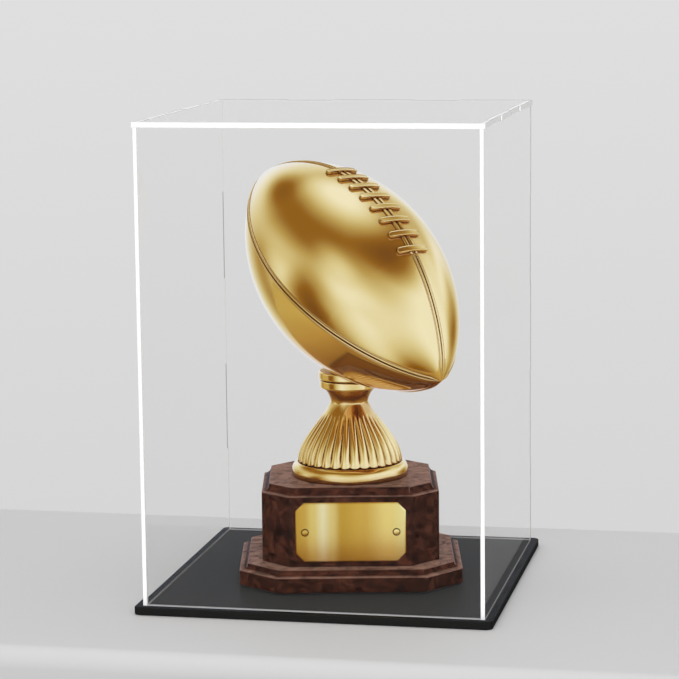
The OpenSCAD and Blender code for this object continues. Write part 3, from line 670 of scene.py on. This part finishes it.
def lace_row(s, along, share):
    """A cross-section of a cross lace: upright sides, rounded rims and a flat crown between."""
    half = lace_w / 2 * share
    high = lace_h * (0.6 + 0.4 * share)
    outline = [(1, -sunk / high), (1, 0.62), (0.98, 0.82), (0.91, 0.95), (0.82, 1), (0.73, 0.97),
               (0.66, 0.9), (0.62, 0.86)]
    outline = [(-x, h) for x, h in outline] + outline[::-1]
    return [over_leather(s + x * half, along, h * high) for x, h in outline]


bars = []
for n in range(laces):
    s = first_lace + n * lace_pitch
    lean = sin(radians(first_skew + (last_skew - first_skew) * n / (laces - 1)))
    length = first_len + (lace_len - first_len) * n / (laces - 1)
    rows = []
    for i in range(41):
        along = length * (i / 40 - 0.5)
        end = length / 2 - abs(along)
        share = sqrt(max(0.03, 1 - max(0, 1 - end / lace_round) ** 2))
        rows.append(lace_row(s - along * lean, along, share))
    bars.append(skin(rows))
cross_bars = piece("cross_lace_bars", bars, on_collar, sharp=50)
for made, node in ((strip_pair, "lace_strips"), (cross_bars, "cross_laces")):
    made.data.materials.append(gold)
    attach(made, "trophy")
    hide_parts(node)

# ---- Cover ------------------------------------------------------------------------------------
# Five panels of clear cast acrylic, laser cut: walls of 3 mm and a top of 4 mm. The back and
# side walls come up through slots in the top's edge, the back corners are finger-jointed, and
# solvent holds it all. The sawn edges stay white, while the faces are clear.

wall_t, top_t, joint_gap = 3, 4, 0.1
half_cover, inside = 125, 122
foot_level, under_top, top_level, top_lip = 4, 352, 356, 126
fingers, cut_edge_round = 5, 0.15
finger = (under_top - foot_level) / fingers
wall_top, edge_in = under_top - joint_gap, inside - joint_gap
side_tabs, back_tabs = ((-93, -43), (7, 57)), ((-69, -32), (32, 69))

# Clear cast acrylic: polished faces, from which an anti-glare coating takes most of the mirror
clear_acrylic, tree, shader = new_material("clear_cast_acrylic", {
    "Base Color": srgb("#fdfdfd"), "Roughness": 0.0, "IOR": 1.49, "Transmission Weight": 1.0})
coated = add(tree, "ShaderNodeBsdfRefraction", {
    "Color": srgb("#fefefe"), "Roughness": 0.0, "IOR": 1.49})
faces = add(tree, "ShaderNodeMixShader", {0: 0.85}, {1: shader.outputs[0], 2: coated.outputs[0]})
# Just above the plate the walls are rubbed matt white by lifting the cover off and on
wear_and_highlight = add(tree, "ShaderNodeBsdfPrincipled", {"Base Color": srgb("#f2f2f2"), "Roughness": 0.6,
                                                "Specular IOR Level": 0.2})
where = add(tree, "ShaderNodeSeparateXYZ", {}, {0: add(tree, "ShaderNodeTexCoord").outputs["Object"]})
at_foot = add(tree, "ShaderNodeMapRange", {
    "From Min": 0.0063, "From Max": 0.0068, "To Min": 0.5, "To Max": 0.0},
    {"Value": where.outputs[2]})
faces = add(tree, "ShaderNodeMixShader", {},
            {0: at_foot.outputs[0], 1: faces.outputs[0], 2: wear_and_highlight.outputs[0]})


def let_through(tree, surface):
    """Lets the light that falls on the trophy, and what its gold mirrors, go straight on."""
    path = add(tree, "ShaderNodeLightPath")
    share = in_metal(tree, path)
    for ray in ("Is Shadow Ray", "Is Diffuse Ray"):
        share = add(tree, "ShaderNodeMath", {"operation": "MAXIMUM"},
                    {0: share.outputs[0], 1: path.outputs[ray]})
    through = add(tree, "ShaderNodeBsdfTransparent")
    both = add(tree, "ShaderNodeMixShader", {}, {0: share.outputs[0], 1: surface.outputs[0],
                                                 2: through.outputs[0]})
    tree.links.new(both.outputs[0], tree.nodes["Material Output"].inputs["Surface"])


let_through(tree, faces)

# Laser-cut edge of the acrylic: frosted and white, and painted to glow as if the light that runs
# inside the sheet came out here. The edges that face the sides are painted greyer, as painted shade.
# Seen from inside the sheet, the edges on the left are painted pale, as painted light, and the others
# grey
cut_edge, tree, shader = new_material("laser_cut_acrylic_edge", {
    "Roughness": 0.5, "IOR": 1.49, "Specular IOR Level": 0.2})
surface = add(tree, "ShaderNodeNewGeometry").outputs
turn = add(tree, "ShaderNodeSeparateXYZ", {}, {0: surface["Normal"]})
frontal = add(tree, "ShaderNodeMath", {"operation": "ABSOLUTE"}, {0: turn.outputs[1]})
frontal = add(tree, "ShaderNodeMath", {"operation": "SUBTRACT", "use_clamp": True},
              {0: frontal.outputs[0], 1: surface["Backfacing"]})
# Lines of the laser, 0.4 mm apart
laser = add(tree, "ShaderNodeTexNoise", {"Scale": 2500.0, "Detail": 1.0},
            {"Vector": add(tree, "ShaderNodeTexCoord").outputs["Object"]})
frosted = add(tree, "ShaderNodeValToRGB", {"stops": [(0.3, "#f2f2f2"), (0.7, "#ffffff")]},
              {"Fac": laser.outputs[0]})
# Painted shade: the edges that face the sides are greyer
white = add(tree, "ShaderNodeMix", {"data_type": "RGBA", 6: srgb("#d8d8d8")},
            {0: frontal.outputs[0], 7: frosted.outputs[0]})
# Painted light: seen from inside, edges that face left are paler
painted_inside_light = add(tree, "ShaderNodeMix", {"data_type": "RGBA", 6: srgb("#8c8c8c"), 7: srgb("#e8e8e8")},
             {0: turn.outputs[0]})
white = add(tree, "ShaderNodeMix", {"data_type": "RGBA"},
            {0: surface["Backfacing"], 6: white.outputs[2], 7: painted_inside_light.outputs[2]})
# Painted glow: the cut edges give out light of their own
painted_glow = add(tree, "ShaderNodeMapRange", {"To Min": 0.28, "To Max": 0.16}, {"Value": frontal.outputs[0]})
tree.links.new(white.outputs[2], shader.inputs["Base Color"])
tree.links.new(white.outputs[2], shader.inputs["Emission Color"])
tree.links.new(painted_glow.outputs[0], shader.inputs["Emission Strength"])
let_through(tree, shader)


def tabbed(low, high, tabs):
    """The upper edge of a wall, from high back to low, with tabs up through the top."""
    edge = [(high, wall_top)]
    for a, b in tabs[::-1]:
        edge += [(b, wall_top), (b, top_level), (a, top_level), (a, wall_top)]
    return edge + [(low, wall_top)]


def fingered(odd, even):
    """One end of a wall, going up. The fingers that stand out are trimmed by the joint's gap."""
    edge = []
    for i in range(fingers):
        x = odd if i % 2 else even
        trim = joint_gap if x == half_cover else 0
        edge += [(x, foot_level + i * finger + (trim if i else 0)),
                 (x, foot_level + (i + 1) * finger - (trim if i < fingers - 1 else joint_gap))]
    return edge


def panel(name, outline, thickness, place):
    """A sheet cut to an outline, with clear faces and cut edges."""
    loops = [[(x, y, z) for x, y in outline] for z in (0, thickness)]
    made = piece(name, [skin(loops)], place, sharp=30, bevel=cut_edge_round, end_material=1)
    made.data.materials.append(cut_edge)
    made.data.materials.append(clear_acrylic)
    return made


front_outline = [(-edge_in, foot_level), (edge_in, foot_level),
                 (edge_in, wall_top), (-edge_in, wall_top)]
front = panel("front_wall", front_outline, wall_t,
              Matrix.Translation((0, -inside * 0.001, 0)) @ upright)
right_end = fingered(half_cover, edge_in)
left_end = [(-x, z) for x, z in right_end[::-1]]
back_outline = right_end[:-1] + tabbed(-edge_in, edge_in, back_tabs)[:-1] + left_end
back = panel("back_wall", back_outline, wall_t,
             Matrix.Translation((0, half_cover * 0.001, 0)) @ upright)
side_outline = [(-half_cover, foot_level)] + fingered(edge_in, half_cover)[:-1] \
    + tabbed(-half_cover, half_cover, side_tabs)
sideways_on = Matrix.Rotation(radians(90), 4, "Z") @ upright
right = panel("right_wall", side_outline, wall_t,
              Matrix.Translation((inside * 0.001, 0, 0)) @ sideways_on)
left = panel("left_wall", side_outline, wall_t,
             Matrix.Translation((-half_cover * 0.001, 0, 0)) @ sideways_on)


def slots(tabs):
    """The places of the slots for some tabs, with the joint's gap around each tab."""
    return [(a - joint_gap, b + joint_gap) for a, b in tabs]


right_side = [(top_lip, -half_cover)]
for a, b in slots(side_tabs):
    right_side += [(top_lip, a), (edge_in, a), (edge_in, b), (top_lip, b)]
back_side = [(top_lip, top_lip)]
for a, b in slots(back_tabs)[::-1]:
    back_side += [(b, top_lip), (b, edge_in), (a, edge_in), (a, top_lip)]
left_side = [(-x, y) for x, y in (right_side + [(top_lip, top_lip)])[::-1]]
top = panel("top_sheet", right_side + back_side + left_side, top_t,
            Matrix.Translation((0, 0, under_top * 0.001)))
for made, node in ((front, "front_panel"), (back, "back_panel"), (left, "left_panel"),
                   (right, "right_panel"), (top, "top_panel")):
    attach(made, "cover")
    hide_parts(node)

# ---- Shelf ------------------------------------------------------------------------------------
# The case stands on a white-painted shelf with a rounded front edge, in front of a pale wall.
# None of this is part of the object.

# Eggshell paint on board: pale grey, almost without gloss. In the gold a painted reflection shows it
# warm, with painted shade that darkens it towards the case, and the strip beside the plate is painted
# dark as its shade
paint, tree, shader = new_material("eggshell_paint", {"Roughness": 0.6, "Specular IOR Level": 0.25})
mirrored = in_metal(tree, add(tree, "ShaderNodeLightPath"))
place = add(tree, "ShaderNodeVectorMath", {"operation": "ABSOLUTE"},
            {0: add(tree, "ShaderNodeTexCoord").outputs["Object"]})
place = add(tree, "ShaderNodeSeparateXYZ", {}, {0: place.outputs[0]})
away = add(tree, "ShaderNodeMath", {"operation": "MAXIMUM"},
           {0: place.outputs[0], 1: place.outputs[1]})
# Painted reflection and painted shade: the shelf as the gold mirrors it
painted_reflection_tone = add(tree, "ShaderNodeValToRGB", {"stops": [
    (0.137, "#1c1a18"), (0.141, "#a47c40"), (0.26, "#c2a260"), (0.5, "#d2bf7e")]},
    {"Fac": away.outputs[0]})
tone = add(tree, "ShaderNodeMix", {"data_type": "RGBA", 6: srgb("#d4d4d4")},
           {0: mirrored.outputs[0], 7: painted_reflection_tone.outputs[0]})
tree.links.new(tone.outputs[2], shader.inputs["Base Color"])

lip_r, shelf_front, shelf_back, shelf_t, shelf_half = 14, -232, 190, 40, 1500
shelf_line = [(shelf_back, -shelf_t), (shelf_back, 0)]
shelf_line += [(shelf_front + lip_r - lip_r * sin(radians(a)), lip_r * (cos(radians(a)) - 1))
               for a in range(0, 91, 9)]
shelf_line += [(shelf_front, -shelf_t)]
shelf = piece("shelf", [skin([[(x, y, z) for y, z in shelf_line]
                              for x in (-shelf_half, shelf_half)])])
shelf.data.materials.append(paint)

# ---- Light ------------------------------------------------------------------------------------
# Soft lamps in front, above and at both sides light the object. Metal and gloss show the room
# they stand in: wide soft boxes, pale as daylight, in a dim room with warm walls.


def aim(azimuth, elevation):
    """The direction of a place in the room: azimuth 0 is the front and 90 the right."""
    a, e = radians(azimuth), radians(elevation)
    return Vector((sin(a) * cos(e), -cos(a) * cos(e), sin(e)))


lit_place, lamp_distance = Vector((0, 0, 0.2)), 2
for name, azimuth, elevation, w, h, level in (
        ("front_lamp", 0, 12, 3.0, 2.0, 1.8), ("right_lamp", 90, 25, 2.0, 1.6, 0.5),
        ("left_lamp", -90, 25, 2.0, 1.6, 0.5), ("top_lamp", 170, 78, 2.6, 2.6, 1.3)):
    light = bpy.data.lights.new(name, "AREA")
    light.shape, light.size, light.size_y = "RECTANGLE", w, h
    light.energy = level * pi * w * h
    lamp = bpy.data.objects.new(name, light)
    bpy.context.scene.collection.objects.link(lamp)
    lamp.matrix_world = Matrix.Translation(aim(azimuth, elevation) * lamp_distance + lit_place) \
        @ aim(azimuth, elevation).to_track_quat("Z", "Y").to_matrix().to_4x4()
    lamp.visible_camera = lamp.visible_glossy = lamp.visible_transmission = False

world = bpy.data.worlds.new("room")
bpy.context.scene.world = world
world.use_nodes = True
tree = world.node_tree
tree.nodes.clear()
facing = add(tree, "ShaderNodeTexCoord").outputs["Generated"]
parts = add(tree, "ShaderNodeSeparateXYZ", {}, {"Vector": facing})
# The dim room: a little darker below
glow = add(tree, "ShaderNodeMapRange", {"interpolation_type": "SMOOTHSTEP", "From Min": -0.86,
                                        "From Max": -0.65, "To Min": 0.35, "To Max": 0.45},
           {"Value": parts.outputs[2]})
# Soft boxes, and black flags where the level is below zero. Each has its azimuth and elevation,
# the reach of its even middle and of its soft rim, how flat it is, and its level
for azimuth, elevation, inner, outer, flat, level in (
        (-5, 3, 0.2, 1.16, 1.2, 0.4), (84, 13, 0.38, 1.25, 1.1, 0.47),
        (-159, -3, 0.14, 1.01, 0.5, 0.41), (-81, 15, 0.0, 1.49, 3.7, 0.29),
        (183, 76, 0.05, 0.8, 2.1, 0.49), (152, 17, 0.35, 0.63, 0.8, 0.13),
        (146, 10, 0.06, 0.46, 1.4, 0.33), (-28, 36, 0.03, 0.43, 1.5, 0.16),
        (-82, -10, 0.14, 0.62, 1.4, 0.35), (-23, -43, 0.0, 0.54, 0.5, 0.29),
        (-66, -12, 0.03, 0.39, 0.9, -0.37), (139, 4, 0.05, 0.46, 1.5, -0.4),
        (15, -52, 0.07, 0.4, 0.5, -0.14), (-129, 39, 0.0, 0.4, 1.2, -0.21),
        (79, 53, 0.09, 0.82, 2.5, -0.37), (-52, 10, 0.03, 0.4, 1.2, -0.17)):
    off = add(tree, "ShaderNodeVectorMath", {"operation": "SUBTRACT", 1: aim(azimuth, elevation)},
              {0: facing})
    off = add(tree, "ShaderNodeVectorMath", {"operation": "MULTIPLY", 1: (1, 1, flat)},
              {0: off.outputs[0]})
    off = add(tree, "ShaderNodeVectorMath", {"operation": "LENGTH"}, {0: off.outputs[0]})
    box = add(tree, "ShaderNodeMapRange", {"interpolation_type": "SMOOTHSTEP", "From Min": outer,
                                           "From Max": inner, "To Min": 0.0, "To Max": level},
              {"Value": off.outputs["Value"]})
    glow = add(tree, "ShaderNodeMath", {"operation": "ADD"}, {0: glow.outputs[0], 1: box.outputs[0]})
# In the metal the room's dim places are brown, and its brightest are cool
room = add(tree, "ShaderNodeValToRGB", {"stops": [
    (0.14, "#301307"), (0.3, "#523510"), (0.46, "#6c4e16"), (0.62, "#8c8160"), (0.78, "#a5a7a4"),
    (0.94, "#b7c2e4")]}, {"Fac": glow.outputs[0]})
path = add(tree, "ShaderNodeLightPath")
# Straight on, or through clear sheet, only a plain pale wall is seen
plain = add(tree, "ShaderNodeMath", {"operation": "MAXIMUM"},
            {0: path.outputs["Is Camera Ray"], 1: path.outputs["Is Transmission Ray"]})
# Matt surfaces take a dim light from the room, and the clear sheet mirrors pale walls
level = add(tree, "ShaderNodeMix", {"data_type": "RGBA", 6: srgb("#8c8c8c"), 7: srgb("#e0e0e0")},
            {0: path.outputs["Is Singular Ray"]})
ambient = add(tree, "ShaderNodeBackground", {}, {"Color": level.outputs[2]})
glossy = add(tree, "ShaderNodeBackground", {"Strength": 2.0}, {"Color": room.outputs[0]})
# The wall behind the case is a little paler above
height = add(tree, "ShaderNodeMapRange", {"From Min": -0.22, "From Max": -0.02},
             {"Value": parts.outputs[2]})
wall = add(tree, "ShaderNodeValToRGB", {"stops": [(0.0, "#d6d6d6"), (1.0, "#dfdfdf")]},
           {"Fac": height.outputs[0]})
pale = add(tree, "ShaderNodeBackground", {}, {"Color": wall.outputs[0]})
mixed = add(tree, "ShaderNodeMixShader", {},
            {0: in_metal(tree, path).outputs[0], 1: ambient.outputs[0], 2: glossy.outputs[0]})
mixed = add(tree, "ShaderNodeMixShader", {},
            {0: plain.outputs[0], 1: mixed.outputs[0], 2: pale.outputs[0]})
add(tree, "ShaderNodeOutputWorld", {}, {"Surface": mixed.outputs[0]})
bpy.context.scene.view_settings.view_transform = "Standard"

# ---- Camera -----------------------------------------------------------------------------------
# A long lens at chest height, a little to the right of the case and looking down on it.

camera_at, lens = (0.38608, -1.88285, 0.48457), 137.3
yaw, pitch, roll_angle = -0.204, 0.155, -0.011
forward = Vector((sin(yaw) * cos(pitch), cos(yaw) * cos(pitch), -sin(pitch)))
across = Vector((cos(yaw), -sin(yaw), 0))
over = across.cross(forward)
sideways = across * cos(roll_angle) + over * sin(roll_angle)
upwards = over * cos(roll_angle) - across * sin(roll_angle)
camera = bpy.data.objects.new("camera", bpy.data.cameras.new("camera"))
bpy.context.scene.collection.objects.link(camera)
camera.data.lens = lens
camera.matrix_world = Matrix.Translation(camera_at) \
    @ Matrix((sideways, upwards, -forward)).transposed().to_4x4()
bpy.context.scene.camera = camera
